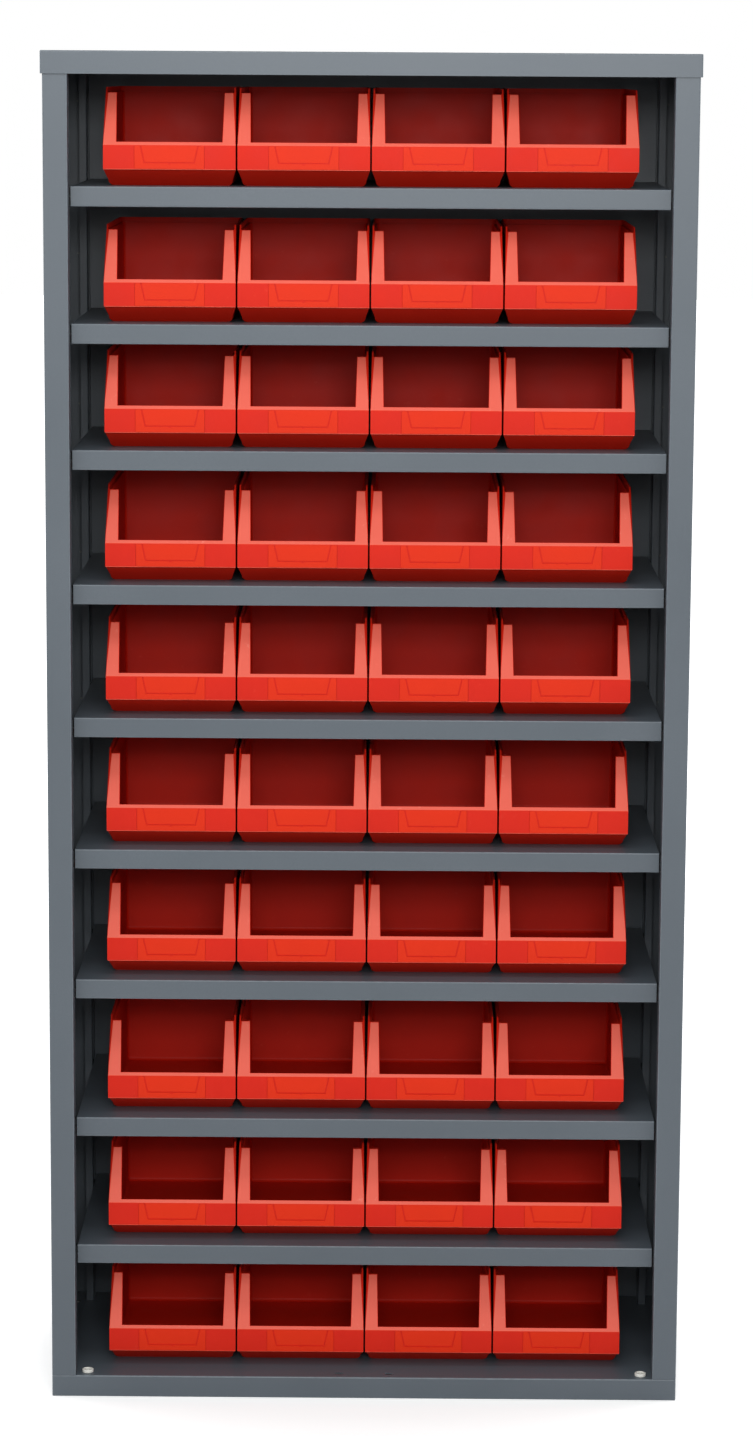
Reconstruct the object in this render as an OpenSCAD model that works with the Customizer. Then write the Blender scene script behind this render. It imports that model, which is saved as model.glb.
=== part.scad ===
// Tall open-fronted cabinet of folded sheet steel. Nine shelves hook into
// slotted rails, and four open-fronted plastic bins stand on each shelf and
// on the floor. Every bin slides forward and out.
// Millimetres, +Z up. The origin is the middle of the footprint, on the
// floor, and the open front faces -Y. Row 1 is the top row of bins and
// column 1 is at the left, seen from the front.

/* [Cabinet] */
// Width over the side panels
cab_w = 1000; // [940:5:1300]
// Depth over the side panels and the back panel
cab_d = 435; // [430:5:600]
// Height of the base pan
base_h = 35; // [25:1:120]
// Height of the cap's skirt
cap_h = 35; // [30:1:80]
// Sheet thickness of the base pan
base_t = 1.5; // [1:0.1:2.5]
// Sheet thickness of the cap
cap_t = 1.5; // [1:0.1:2.5]
// Sheet thickness of the side panels
side_t = 1; // [0.8:0.1:1.5]
// Sheet thickness of the back panel
back_t = 0.8; // [0.6:0.1:1.5]
// Length of the back panel's foot behind the base pan
back_foot = 12; // [8:1:20]
// Gap between the cap's skirt and the panels inside it
cap_gap = 1.5; // [0.5:0.1:3]
// Radius of the sheet's centre line at a fold
fold_r = 1.5; // [1.3:0.1:3]
// Width of the base pan's rim on the floor
base_rim = 18; // [10:1:30]

/* [Side panels] */
// Width of the flanges at the front and the rear
flange_w = 38; // [30:1:45]
// Depth of the return behind each flange
return_d = 18; // [12:1:22]
// Width of the tabs that lie on the base and under the cap
tab_w = 22; // [18:1:28]

/* [Shelf rails] */
// Height from one slot to the next
slot_pitch = 15; // [15:1:18]
// Height of the first slot's middle above the base
slot_first = 7.5; // [6:0.5:9]
// Height of a slot
slot_h = 9; // [8:0.5:11]
// Width of a slot
slot_w = 4; // [3.5:0.5:6]
// Setback of the slots behind the panel's face
slot_back = 35; // [33:1:38]
// Setback of a rail's folded edge behind the panel's face
rail_back = 46; // [44:1:50]
// Sheet thickness of a rail
rail_t = 1.2; // [1:0.1:2]
// Width of a rail's folded edge
rail_edge = 12; // [8:1:20]

/* [Shelves] */
// Rows of bins, the one on the base among them
rows = 10; // [2:1:10]
// Spacing of the shelves, in slots
shelf_slots = 14; // [13:1:18]
// Spacing of the one tighter compartment, in slots
tight_slots = 13; // [13:1:18]
// Row that stands in the tighter compartment
tight_row = 3; // [1:1:10]
// Spacing of the one taller compartment, in slots
tall_slots = 15; // [13:1:18]
// Row that stands in the taller compartment
tall_row = 8; // [1:1:10]
// Clear height above the top shelf
top_clear = 170; // [165:1:300]
// Sheet thickness of a shelf
shelf_t = 1; // [0.8:0.1:1.5]
// Height of a shelf's front lip
lip_h = 31; // [25:1:35]
// Depth of the hem under the front lip
lip_hem = 12; // [8:1:25]
// Height of a shelf's rear edge
rear_h = 20; // [16:1:30]
// Height of a shelf's side edges
skirt_h = 15; // [12:1:20]
// Setback of the front lip behind the side flanges
lip_back = 25; // [20:1:28]
// Gap between a shelf's end and the flange returns
shelf_gap = 2.5; // [2:0.1:4]
// Gap between a shelf and the back panel
shelf_rear_gap = 2; // [1:0.5:5]

/* [Shelf clips] */
// Thickness of a clip's plate
clip_t = 1.5; // [1:0.1:1.8]
// Width of a clip
clip_w = 16; // [12:1:18]
// Height of a clip's plate above its ledge
clip_up = 12; // [10:1:14]
// Height of a clip's plate below its ledge
clip_down = 14; // [12:1:20]
// Length of the ledge under the shelf's edge
ledge_l = 9; // [6:1:14]
// Gap round a clip's hook in its slot
hook_gap = 0.5; // [0.3:0.1:1]
// Height of the hook's drop behind the rail
hook_drop = 3; // [2:0.5:4]

/* [Door fittings] */
// Diameter of a pivot bush's flange
bush_d = 18; // [15:1:22]
// Height of the flange
bush_flange = 5; // [2:0.5:8]
// Diameter of the bush's shank
shank_d = 12; // [10.5:0.5:14]
// Length of the shank from the flange
shank_l = 8; // [4:0.5:20]
// Diameter of the bush's bore
bore_d = 8; // [5:0.5:9]
// Setback of the bushes and the lock slots
bush_back = 18.5; // [15:0.5:24]
// Gap from a bush's middle to the flange return
bush_side = 18; // [16:1:40]
// Length of a lock slot
lock_l = 14; // [10:1:24]
// Width of a lock slot
lock_w = 7; // [4:0.5:9]
// Distance between the two lock slots
lock_gap = 80; // [40:1:200]
// Depth of the cap's strip between the side flanges
strip_d = 36; // [32:1:50]
// Height of the strip's folded rear edge
strip_up = 12; // [8:1:25]

/* [Fasteners] */
// Rivets down each side of the back panel
rivet_n = 9; // [2:1:16]
// Diameter of a rivet's shank
rivet_d = 3.2; // [2.4:0.2:4.8]
// Diameter of a rivet's head
rivet_head = 6.5; // [5:0.5:10]
// Height of a rivet's head
rivet_head_h = 1.1; // [0.8:0.1:2]
// Length of a rivet inside the panel
rivet_grip = 5; // [3:0.5:8]
// Screws through each side panel's tab into the base
screw_n = 3; // [2:1:5]
// Diameter of a screw's shank
screw_d = 3.5; // [3:0.5:8]
// Diameter of a screw's head
screw_head = 8; // [7:0.5:14]
// Height of a screw's head
screw_head_h = 2.5; // [2:0.5:6]
// Length of a screw under its head
screw_l = 14; // [8:1:20]
// Distance of the end screws from the panel's ends
screw_end = 60; // [40:1:100]
// Gap between a shank and its hole
hole_gap = 0.2; // [0.1:0.05:0.5]

/* [Bins] */
// Bins side by side in a row
columns = 4; // [1:1:4]
// Length of a bin from its front face to its rear rim
bin_l = 341; // [280:1:370]
// Width of a bin over its front frame
bin_w = 204; // [160:1:224]
// Height of a bin
bin_h = 150; // [140:1:160]
// Gap between bins in a row
bin_gap = 2.5; // [1:0.5:5]
// Setback of the bins behind the side flanges
bin_back = 50; // [45:1:60]
// Wall thickness of a bin
bin_wall = 2.5; // [2:0.1:3]
// How far a bin's base is narrower than its frame, each side
base_in = 6; // [5:0.5:9]
// How far a bin's walls spread outwards from base to rim, each side
wall_spread = 1; // [0:0.1:2]
// Radius along the bottom edges
edge_r = 8; // [4:0.5:12]
// Radius of the rear corners
corner_r = 12; // [6:0.5:20]
// Lean of the rear wall
rear_lean = 4; // [0:0.5:8]

/* [Bin front] */
// Height of the lip's lower edge above the base
lip_low = 25; // [18:0.5:30]
// Height of the lip's front face
face_h = 37.5; // [30:0.5:45]
// Thickness of the lip
lip_t = 3; // [2.5:0.1:4]
// Setback of the rim's front corners behind the lip
rim_back = 50; // [30:1:70]
// Depth of the lip's underside, in front of the lower wall
grip_d = 8; // [6:0.5:12]
// Depth of the undercut at the base
undercut_d = 44; // [30:1:60]
// Depth of the frame round the opening
frame_d = 8; // [5:0.5:12]
// Width of the frame's bands at the lip
band_low = 19.5; // [14:0.5:26]
// Width of the frame's bands at the rim
band_high = 11.5; // [9:0.5:14]
// Width of the label panel
panel_w = 107; // [80:1:130]
// How far the label panel stands proud
panel_out = 0.8; // [0.4:0.1:1.5]
// Width of the label window at its top
window_top = 90; // [60:1:100]
// Width of the label window at its foot
window_foot = 78; // [50:1:95]
// Height of the strip under the label window
window_up = 10; // [6:0.5:14]
// Depth of the label window
window_d = 1.6; // [1:0.1:2]

/* [Bin rim] */
// How far the frame narrows on each side from lip to rim
rim_in = 2.5; // [0:0.5:4]
// Height of the outer upstand above the stacking ledge
rim_step = 8; // [5:0.5:12]
// Height of the rim's outer band
rim_band = 16; // [12:1:24]
// Thickness of the upstand
rim_t = 2.6; // [2:0.1:3.5]

/* [Hidden] */
$fn = 48;

steel = "#5b646b";
zinc = "#b4b6b4";
nylon = "#e8e8e4";
red = "#d8331f";

cut = 1; // overshoot of cutting tools
shelf_pitch = shelf_slots * slot_pitch;
tight_pitch = tight_slots * slot_pitch;
tall_pitch = tall_slots * slot_pitch;
front = -cab_d / 2;
rear = cab_d / 2 - back_t;
open_x = cab_w / 2 - flange_w;
shelf_x = open_x - shelf_gap;
shelf_front = front + lip_back;
shelf_rear = rear - shelf_rear_gap;
cab_h = row_z(1) + top_clear + cap_h;
cap_over = cap_gap + cap_t;
strip_x = open_x - cap_gap;
bush_x = open_x - bush_side;
bush_y = front + bush_back;
rivet_x = cab_w / 2 - flange_w / 2;
screw_x = cab_w / 2 - side_t - (tab_w - side_t) / 2;
slot_n = floor((cab_h - cap_h - base_h - slot_first) / slot_pitch);

base_half = bin_w / 2 - base_in;
wall_half = base_half + wall_spread;
rim_half = bin_w / 2 - rim_in;
face_top = lip_low + face_h;
ledge_z = bin_h - rim_step;
band_z = bin_h - rim_band;
wall_rear = bin_l - rim_t;

// Height of a row's compartment, and of the surface that the row stands on
function compartment(r) = r == tight_row ? tight_pitch : r == tall_row ? tall_pitch : shelf_pitch;
function row_z(r) = r >= rows ? base_h : row_z(r + 1) + compartment(r + 1);

// Positions that two pieces share
function rivet_z(i) = base_h + rivet_end() + i * (cab_h - cap_h - base_h - 2 * rivet_end()) / (rivet_n - 1);
function rivet_end() = 45;
function screw_y(i) = front + screw_end + i * (cab_d - 2 * screw_end) / (screw_n - 1);
function unit(v) = v / norm(v);

// ---- shared shapes ----

module along_x(from, to) {
    translate([from, 0, 0])
        rotate([90, 0, 90])
            linear_extrude(to - from)
                children();
}

module along_y(from, to) {
    translate([0, to, 0])
        rotate([90, 0, 0])
            linear_extrude(to - from)
                children();
}

module along_z(from, to) {
    translate([0, 0, from])
        linear_extrude(to - from)
            children();
}

module both_sides() {
    children();
    mirror([1, 0, 0])
        children();
}

module round_rect(size, r) {
    square([size.x - 2 * r, size.y], center = true);
    square([size.x, size.y - 2 * r], center = true);
    for (sx = [-1, 1], sy = [-1, 1])
        translate([sx * (size.x / 2 - r), sy * (size.y / 2 - r)])
            circle(r);
}

// Block whose edges are all rounded, standing on z = 0
module soft_block(size, r) {
    intersection() {
        along_z(0, size.z)
            round_rect([size.x, size.y], r);
        along_x(-size.x / 2, size.x / 2)
            translate([0, size.z / 2])
                round_rect([size.y, size.z], r);
        along_y(-size.y / 2, size.y / 2)
            translate([0, size.z / 2])
                round_rect([size.x, size.z], r);
    }
}

// Straight stretch of sheet seen edge on, from p to q
module leg(p, q, t) {
    side = [abs(q.y - p.y), abs(q.x - p.x)] / norm(q - p) * t / 2;
    low = [min(p.x, q.x), min(p.y, q.y)] - side;
    high = [max(p.x, q.x), max(p.y, q.y)] + side;
    translate(low)
        square(high - low);
}

// Quarter turn at p, between legs that leave it along a and b
module turn(p, a, b, r, t) {
    middle = p + r * (a + b);
    outer = middle - (r + t) * (a + b);
    intersection() {
        translate(middle)
            difference() {
                circle(r + t / 2);
                circle(r - t / 2);
            }
        translate([min(middle.x, outer.x), min(middle.y, outer.y)])
            square(r + t);
    }
}

// Folded sheet seen edge on, along a path of square turns
module folded(path, t, r) {
    last = len(path) - 1;
    for (i = [0 : last - 1]) {
        way = unit(path[i + 1] - path[i]);
        leg(path[i] + (i == 0 ? 0 : r) * way, path[i + 1] - (i == last - 1 ? 0 : r) * way, t);
    }
    for (i = [1 : last - 1])
        turn(path[i], unit(path[i - 1] - path[i]), unit(path[i + 1] - path[i]), r, t);
}

// Round-ended slot that runs along X
module lock_slots(z, depth) {
    for (side = [-1, 1])
        translate([side * lock_gap / 2, bush_y, z])
            linear_extrude(depth) {
                square([lock_l - lock_w, lock_w], center = true);
                for (end = [-1, 1])
                    translate([end * (lock_l - lock_w) / 2, 0])
                        circle(d = lock_w);
            }
}

module pivot_holes(z, depth, d) {
    for (side = [-1, 1])
        translate([side * bush_x, bush_y, z])
            cylinder(h = depth, d = d);
}

// ---- carcass ----

module base_pan() {
    r = fold_r + base_t / 2;
    floor_low = base_h - base_t - cut;
    outer = [cab_w, rear - front, base_h];
    color(steel)
        difference() {
            translate([0, -back_t / 2, 0])
                soft_block(outer, r);
            translate([0, -back_t / 2, base_t])
                soft_block(outer - 2 * base_t * [1, 1, 1], r - base_t);
            translate([0, 0, -cut])
                linear_extrude(base_t + 2 * cut)
                    square([cab_w - 2 * base_rim, cab_d - 2 * base_rim], center = true);
            pivot_holes(floor_low, base_t + 2 * cut, shank_d + 2 * hole_gap);
            lock_slots(floor_low, base_t + 2 * cut);
            both_sides()
                screw_places()
                    translate([0, 0, floor_low - base_h])
                        cylinder(h = base_t + 2 * cut, d = screw_d + 2 * hole_gap);
        }
}

module top_cap() {
    r = fold_r + cap_t / 2;
    low = cab_h - cap_h;
    outer = [cab_w + 2 * cap_over, cab_d + 2 * cap_over, cap_h + r];
    inner = [cab_w + 2 * cap_gap, cab_d + 2 * cap_gap, cap_h + r - cap_t];
    color(steel)
        difference() {
            union() {
                difference() {
                    translate([0, 0, low - r])
                        soft_block(outer, r);
                    translate([0, 0, low - r])
                        soft_block(inner, r - cap_t);
                    translate([0, 0, low - r - cut])
                        linear_extrude(r + cut)
                            square([outer.x, outer.y] + [cut, cut], center = true);
                }
                along_x(-strip_x, strip_x)
                    folded([
                        [front - cap_over + cap_t / 2, low + cap_t / 2],
                        [front + strip_d, low + cap_t / 2],
                        [front + strip_d, low + strip_up]
                    ], cap_t, fold_r);
            }
            pivot_holes(low - cut, cap_t + 2 * cut, bore_d);
            lock_slots(low - cut, cap_t + 2 * cut);
        }
}

module side_panel() {
    web = -cab_w / 2 + side_t / 2;
    inner = -open_x - side_t / 2;
    face = front + side_t / 2;
    back = rear - side_t / 2;
    top = cab_h - cap_t;
    difference() {
        union() {
            along_z(base_h, top)
                folded([
                    [inner, front + return_d], [inner, face], [web, face],
                    [web, back], [inner, back], [inner, rear - return_d]
                ], side_t, fold_r);
            for (z = [base_h, top - side_t])
                translate([web, front + 2 * fold_r, z])
                    cube([tab_w - side_t / 2, rear - front - 4 * fold_r, side_t]);
        }
        for (i = [0 : rivet_n - 1])
            translate([-rivet_x, rear + cut, rivet_z(i)])
                rotate([90, 0, 0])
                    cylinder(h = side_t + 2 * cut, d = rivet_d + 2 * hole_gap);
        screw_places()
            translate([0, 0, -cut])
                cylinder(h = side_t + 2 * cut, d = screw_d + 2 * hole_gap);
    }
}

module left_side() {
    color(steel)
        side_panel();
}

module right_side() {
    color(steel)
        mirror([1, 0, 0])
            side_panel();
}

module back_panel() {
    color(steel)
        difference() {
            translate([-cab_w / 2, rear, base_h - back_foot])
                cube([cab_w, back_t, cab_h - cap_t - base_h + back_foot]);
            both_sides()
                for (i = [0 : rivet_n - 1])
                    translate([-rivet_x, rear + back_t + cut, rivet_z(i)])
                        rotate([90, 0, 0])
                            cylinder(h = back_t + 2 * cut, d = rivet_d + 2 * hole_gap);
        }
}

// ---- shelves and what carries them ----

// Slotted strip behind the left front return, with its rear edge folded
module shelf_rail() {
    difference() {
        along_z(base_h, cab_h - cap_h)
            folded([
                [-open_x - side_t - rail_t / 2, front + side_t + fold_r],
                [-open_x - side_t - rail_t / 2, front + rail_back],
                [-open_x - side_t - rail_edge, front + rail_back]
            ], rail_t, fold_r);
        for (i = [0 : slot_n - 1])
            translate([-open_x - side_t - rail_t - cut, front + slot_back, slot_z(i)])
                translate([0, -slot_w / 2, -slot_h / 2])
                    cube([rail_t + 2 * cut, slot_w, slot_h]);
    }
}

function slot_z(i) = base_h + slot_first + i * slot_pitch;

// Middle of the slot that is the i-th under a shelf at height z
function slot_under(z, i) = z + slot_first - i * slot_pitch;

// Repeats a left front piece at the left rear
module front_and_rear() {
    children();
    translate([0, front + rear, 0])
        mirror([0, 1, 0])
            children();
}

module left_rails() {
    color(steel)
        front_and_rear()
            shelf_rail();
}

module right_rails() {
    mirror([1, 0, 0])
        left_rails();
}

module shelf(r) {
    z = row_z(r);
    top = z - shelf_t / 2;
    face = shelf_front + shelf_t / 2;
    back = shelf_rear - shelf_t / 2;
    hem = z - lip_h + shelf_t / 2;
    color(steel) {
        along_x(-shelf_x, shelf_x)
            folded([
                [face + lip_hem, hem], [face, hem], [face, top],
                [back, top], [back, z - rear_h]
            ], shelf_t, fold_r);
        both_sides()
            translate([-shelf_x, face, z - skirt_h])
                cube([shelf_t, back - face, skirt_h - shelf_t / 2]);
    }
}

// Clip at the left front of a shelf: a plate on the rail, a ledge under the
// shelf's side edge, and two hooks through the slots
module shelf_clip(z) {
    ledge = z - skirt_h;
    hook_w = slot_w - 2 * hook_gap;
    hook_h = slot_h - 2 * hook_gap;
    behind = rail_t + hook_gap;
    plate_x = -open_x - side_t;
    y = front + slot_back;
    translate([plate_x, y - clip_w / 2, ledge - clip_down])
        cube([clip_t, clip_w, clip_up + clip_down]);
    translate([plate_x, y - clip_w / 2, ledge - clip_t])
        cube([side_t + shelf_gap + ledge_l, clip_w, clip_t]);
    for (i = [1, 2])
        translate([plate_x - behind - clip_t, y - hook_w / 2, slot_under(z, i) - hook_h / 2]) {
            cube([behind + clip_t + clip_t / 2, hook_w, hook_h]);
            translate([0, 0, -hook_drop])
                cube([clip_t, hook_w, hook_h]);
        }
}

module shelf_clips() {
    color(zinc)
        both_sides()
            front_and_rear()
                for (r = [1 : rows - 1])
                    shelf_clip(row_z(r));
}

// ---- door fittings ----

// Flanged bush, flange up, with the plate's face at z = 0
module pivot_bush() {
    difference() {
        union() {
            cylinder(h = bush_flange, d = bush_d);
            translate([0, 0, -shank_l])
                cylinder(h = shank_l + cut, d = shank_d);
        }
        translate([0, 0, -shank_l - cut])
            cylinder(h = bush_flange + shank_l + 2 * cut, d = bore_d);
    }
}

module pivot_bushes() {
    color(nylon)
        both_sides()
            translate([-bush_x, bush_y, base_h])
                pivot_bush();
}

// ---- fasteners ----

module back_rivets() {
    color(zinc)
        both_sides()
            for (i = [0 : rivet_n - 1])
                translate([-rivet_x, rear + back_t, rivet_z(i)])
                    rotate([-90, 0, 0]) {
                        cylinder(h = rivet_head_h, d1 = rivet_head, d2 = rivet_head - 2 * rivet_head_h);
                        translate([0, 0, -rivet_grip])
                            cylinder(h = rivet_grip + rivet_head_h / 2, d = rivet_d);
                    }
}

module screw_places() {
    for (i = [0 : screw_n - 1])
        translate([-screw_x, screw_y(i), base_h])
            children();
}

module base_screws() {
    color(zinc)
        both_sides()
            screw_places()
                translate([0, 0, side_t]) {
                    cylinder(h = screw_head_h, d = screw_head);
                    translate([0, 0, -screw_l])
                        cylinder(h = screw_l + screw_head_h / 2, d = screw_d);
                }
}

// ---- bin ----

// Setback of the sloping front at height z
function slope(z) = rim_back * (z - face_top) / (bin_h - face_top);

// Front view of a bin's walls, with round lower edges
module wall_outline(foot, head, low, high, r) {
    polygon([
        [r - foot, low], [foot - r, low], [foot, low + r],
        [head, high], [-head, high], [-foot, low + r]
    ]);
    for (side = [-1, 1])
        translate([side * (foot - r), low + r])
            circle(r);
}

// Plan of a bin with round rear corners
module plan_outline(half, from, to, r) {
    translate([-half, from])
        square([2 * half, to - from - r]);
    translate([r - half, from])
        square([2 * (half - r), to - from]);
    for (side = [-1, 1])
        translate([side * (half - r), to - r])
            circle(r);
}

module bin_walls() {
    intersection() {
        along_x(-bin_w / 2, bin_w / 2)
            polygon([
                [undercut_d, 0], [wall_rear - rear_lean, 0], [wall_rear, ledge_z],
                [slope(ledge_z), ledge_z], [0, face_top], [0, lip_low], [grip_d, lip_low]
            ]);
        along_y(0, bin_l)
            wall_outline(base_half, wall_half, 0, ledge_z, edge_r);
        along_z(0, ledge_z)
            plan_outline(wall_half, 0, wall_rear, corner_r - rim_t);
    }
}

// Sloping frame round the opening, and the lip under it
module bin_frame() {
    intersection() {
        along_x(-bin_w / 2, bin_w / 2)
            polygon([
                [0, lip_low], [0, face_top], [rim_back, bin_h],
                [rim_back + frame_d, bin_h], [frame_d, face_top], [frame_d, lip_low]
            ]);
        along_y(0, rim_back + frame_d)
            polygon([
                [-bin_w / 2, lip_low], [bin_w / 2, lip_low], [bin_w / 2, face_top],
                [rim_half, bin_h], [-rim_half, bin_h], [-bin_w / 2, face_top]
            ]);
    }
}

// Flare under the lip, from the frame's width in to the base's
module bin_chin() {
    intersection() {
        along_x(-bin_w / 2, bin_w / 2)
            polygon([
                [0, lip_low + cut], [0, lip_low], [grip_d, lip_low], [undercut_d, 0],
                [undercut_d + frame_d, 0], [grip_d + frame_d, lip_low + cut]
            ]);
        along_y(0, undercut_d + frame_d)
            polygon([
                [-bin_w / 2, lip_low + cut], [bin_w / 2, lip_low + cut], [bin_w / 2, lip_low],
                [base_half, edge_r], [-base_half, edge_r], [-bin_w / 2, lip_low]
            ]);
    }
}

module bin_rim() {
    intersection() {
        along_z(band_z, bin_h)
            plan_outline(rim_half, 0, bin_l, corner_r);
        along_x(-bin_w / 2, bin_w / 2)
            polygon([
                [slope(band_z), band_z], [bin_l, band_z], [bin_l, bin_h], [rim_back, bin_h]
            ]);
    }
}

module bin_cavity() {
    run = undercut_d - grip_d;
    shift = bin_wall * norm([run, lip_low]) / lip_low;
    intersection() {
        along_x(-bin_w / 2, bin_w / 2)
            polygon([
                [lip_t, lip_low + (grip_d + shift - lip_t) * lip_low / run],
                [undercut_d + shift - bin_wall * run / lip_low, bin_wall],
                [wall_rear - rear_lean - bin_wall, bin_wall],
                [wall_rear - bin_wall, ledge_z + cut], [lip_t, ledge_z + cut]
            ]);
        along_y(0, bin_l)
            wall_outline(
                base_half - bin_wall, wall_half - bin_wall,
                bin_wall, ledge_z + cut, edge_r - bin_wall
            );
        along_z(0, bin_h)
            plan_outline(wall_half - bin_wall, 0, wall_rear - bin_wall, corner_r - rim_t - bin_wall);
    }
}

// The frame's two bands, which the cavity leaves standing
module bin_bands() {
    low = bin_w / 2 - band_low;
    high = rim_half - band_high;
    difference() {
        along_x(-bin_w / 2, bin_w / 2)
            polygon([
                [0, lip_low], [0, face_top], [rim_back, bin_h],
                [rim_back + frame_d, bin_h], [frame_d, face_top], [frame_d, lip_low]
            ]);
        along_y(-cut, rim_back + frame_d + cut)
            polygon([
                [-low, 0], [low, 0], [low, face_top],
                [high, ledge_z], [high, bin_h + cut], [-high, bin_h + cut],
                [-high, ledge_z], [-low, face_top]
            ]);
    }
}

module label_panel() {
    along_y(-panel_out, lip_t / 2)
        translate([-panel_w / 2, lip_low])
            square([panel_w, face_h]);
}

module label_window() {
    along_y(-panel_out - cut, window_d - panel_out)
        polygon([
            [-window_foot / 2, lip_low + window_up], [window_foot / 2, lip_low + window_up],
            [window_top / 2, face_top], [window_top / 2, face_top + lip_t],
            [-window_top / 2, face_top + lip_t], [-window_top / 2, face_top]
        ]);
}

module bin(r, c) {
    x = (c - (columns + 1) / 2) * (bin_w + bin_gap);
    color(red)
        translate([x, front + bin_back, row_z(r)])
            difference() {
                union() {
                    bin_walls();
                    bin_frame();
                    bin_chin();
                    bin_rim();
                    label_panel();
                }
                difference() {
                    bin_cavity();
                    bin_bands();
                }
                along_z(ledge_z, bin_h + cut)
                    plan_outline(rim_half - rim_t, -cut, bin_l - rim_t, corner_r - rim_t);
                label_window();
            }
}

top_cap();
base_pan();
left_side();
right_side();
back_panel();
left_rails();
right_rails();
for (r = [1 : rows - 1])
    shelf(r);
shelf_clips();
pivot_bushes();
back_rivets();
base_screws();
for (r = [1 : rows], c = [1 : columns])
    bin(r, c);
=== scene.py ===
import math
import bmesh
import bpy
from mathutils import Matrix, Vector


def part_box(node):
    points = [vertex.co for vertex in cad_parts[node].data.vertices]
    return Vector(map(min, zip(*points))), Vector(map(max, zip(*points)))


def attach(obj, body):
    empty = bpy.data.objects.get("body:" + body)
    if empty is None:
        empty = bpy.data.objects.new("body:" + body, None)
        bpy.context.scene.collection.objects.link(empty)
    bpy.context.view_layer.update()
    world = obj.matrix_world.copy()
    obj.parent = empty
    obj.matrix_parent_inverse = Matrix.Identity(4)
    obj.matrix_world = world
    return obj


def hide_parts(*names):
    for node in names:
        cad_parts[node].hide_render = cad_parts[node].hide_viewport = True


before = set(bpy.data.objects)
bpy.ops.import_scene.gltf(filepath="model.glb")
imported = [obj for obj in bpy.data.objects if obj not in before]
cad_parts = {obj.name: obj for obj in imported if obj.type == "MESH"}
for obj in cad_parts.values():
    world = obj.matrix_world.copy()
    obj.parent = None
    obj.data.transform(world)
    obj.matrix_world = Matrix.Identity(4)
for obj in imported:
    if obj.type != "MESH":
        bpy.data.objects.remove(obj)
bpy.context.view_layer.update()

print("frame loaded:", len(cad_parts), "nodes")


# ---- working helpers ----

def deselectAll():
    bpy.ops.object.select_all(action="DESELECT")


def makeActive(obj):
    deselectAll()
    obj.select_set(True)
    bpy.context.view_layer.objects.active = obj


def editPart(obj, kind, pick, work):
    # kind is VERT, EDGE or FACE; pick says which ones work() acts on
    makeActive(obj)
    bpy.ops.object.mode_set(mode="EDIT")
    bpy.ops.mesh.select_mode(type=kind)
    bpy.ops.mesh.select_all(action="DESELECT")
    mesh = bmesh.from_edit_mesh(obj.data)
    items = {"VERT": mesh.verts, "EDGE": mesh.edges, "FACE": mesh.faces}[kind]
    for item in items:
        if pick(item):
            item.select_set(True)
    mesh.select_flush_mode()
    bmesh.update_edit_mesh(obj.data)
    work()
    bpy.ops.object.mode_set(mode="OBJECT")


def addBlock(name, low, high):
    low = Vector(low)
    high = Vector(high)
    bpy.ops.mesh.primitive_cube_add(size=1, location=(low + high) / 2)
    block = bpy.context.object
    block.name = name
    block.scale = high - low
    bpy.ops.object.transform_apply(location=True, rotation=True, scale=True)
    return block


def addRound(name, radius, low, high, sides=32):
    bpy.ops.mesh.primitive_cylinder_add(vertices=sides, radius=radius, depth=high - low,
                                        location=(0, 0, (low + high) / 2))
    rod = bpy.context.object
    rod.name = name
    bpy.ops.object.transform_apply(location=True, rotation=True, scale=True)
    return rod


def applyModifier(obj, kind, **settings):
    makeActive(obj)
    step = obj.modifiers.new(kind.title(), kind)
    for key, value in settings.items():
        setattr(step, key, value)
    bpy.ops.object.modifier_apply(modifier=step.name)


def roundEdges(obj, width, segments=2, angle=30):
    applyModifier(obj, "BEVEL", width=width, segments=segments, limit_method="ANGLE",
                  angle_limit=math.radians(angle))


def combine(obj, other, operation="UNION"):
    applyModifier(obj, "BOOLEAN", operation=operation, object=other, solver="EXACT")
    bpy.data.objects.remove(other)


def mirrored(obj):
    makeActive(obj)
    bpy.ops.object.duplicate()
    twin = bpy.context.object
    twin.scale.x = -1
    bpy.ops.object.transform_apply(location=True, rotation=True, scale=True)
    editPart(twin, "FACE", lambda f: True, lambda: bpy.ops.mesh.normals_make_consistent(inside=False))
    return twin


def smoothShade(obj, angle=35):
    makeActive(obj)
    bpy.ops.object.shade_smooth_by_angle(angle=math.radians(angle))
    applyModifier(obj, "WEIGHTED_NORMAL", weight=100, keep_sharp=True)


def joined(objects, name):
    deselectAll()
    for obj in objects:
        obj.select_set(True)
    bpy.context.view_layer.objects.active = objects[0]
    bpy.ops.object.join()
    whole = bpy.context.object
    whole.name = name
    return whole


def copyTo(obj, name, shift):
    twin = obj.copy()
    twin.data = obj.data.copy()
    twin.name = name
    twin.data.name = name
    bpy.context.scene.collection.objects.link(twin)
    twin.data.transform(Matrix.Translation(shift))
    return twin


def paint(obj, material):
    obj.data.materials.clear()
    obj.data.materials.append(material)


# ---- camera ----

cameraView = {
    "distance": 6.0,        # m in front of the side flanges
    "height": 2.109,
    "right": 0.040,
    "pitch": 9.48,          # degrees down
    "yaw": -0.25,
    "roll": 0.35,
    "focalPixels": 3904,    # of a 753 x 1436 picture
    "pictureWidth": 753,
    "sensorWidth": 36,      # mm
    "clipEnd": 100,
}


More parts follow.
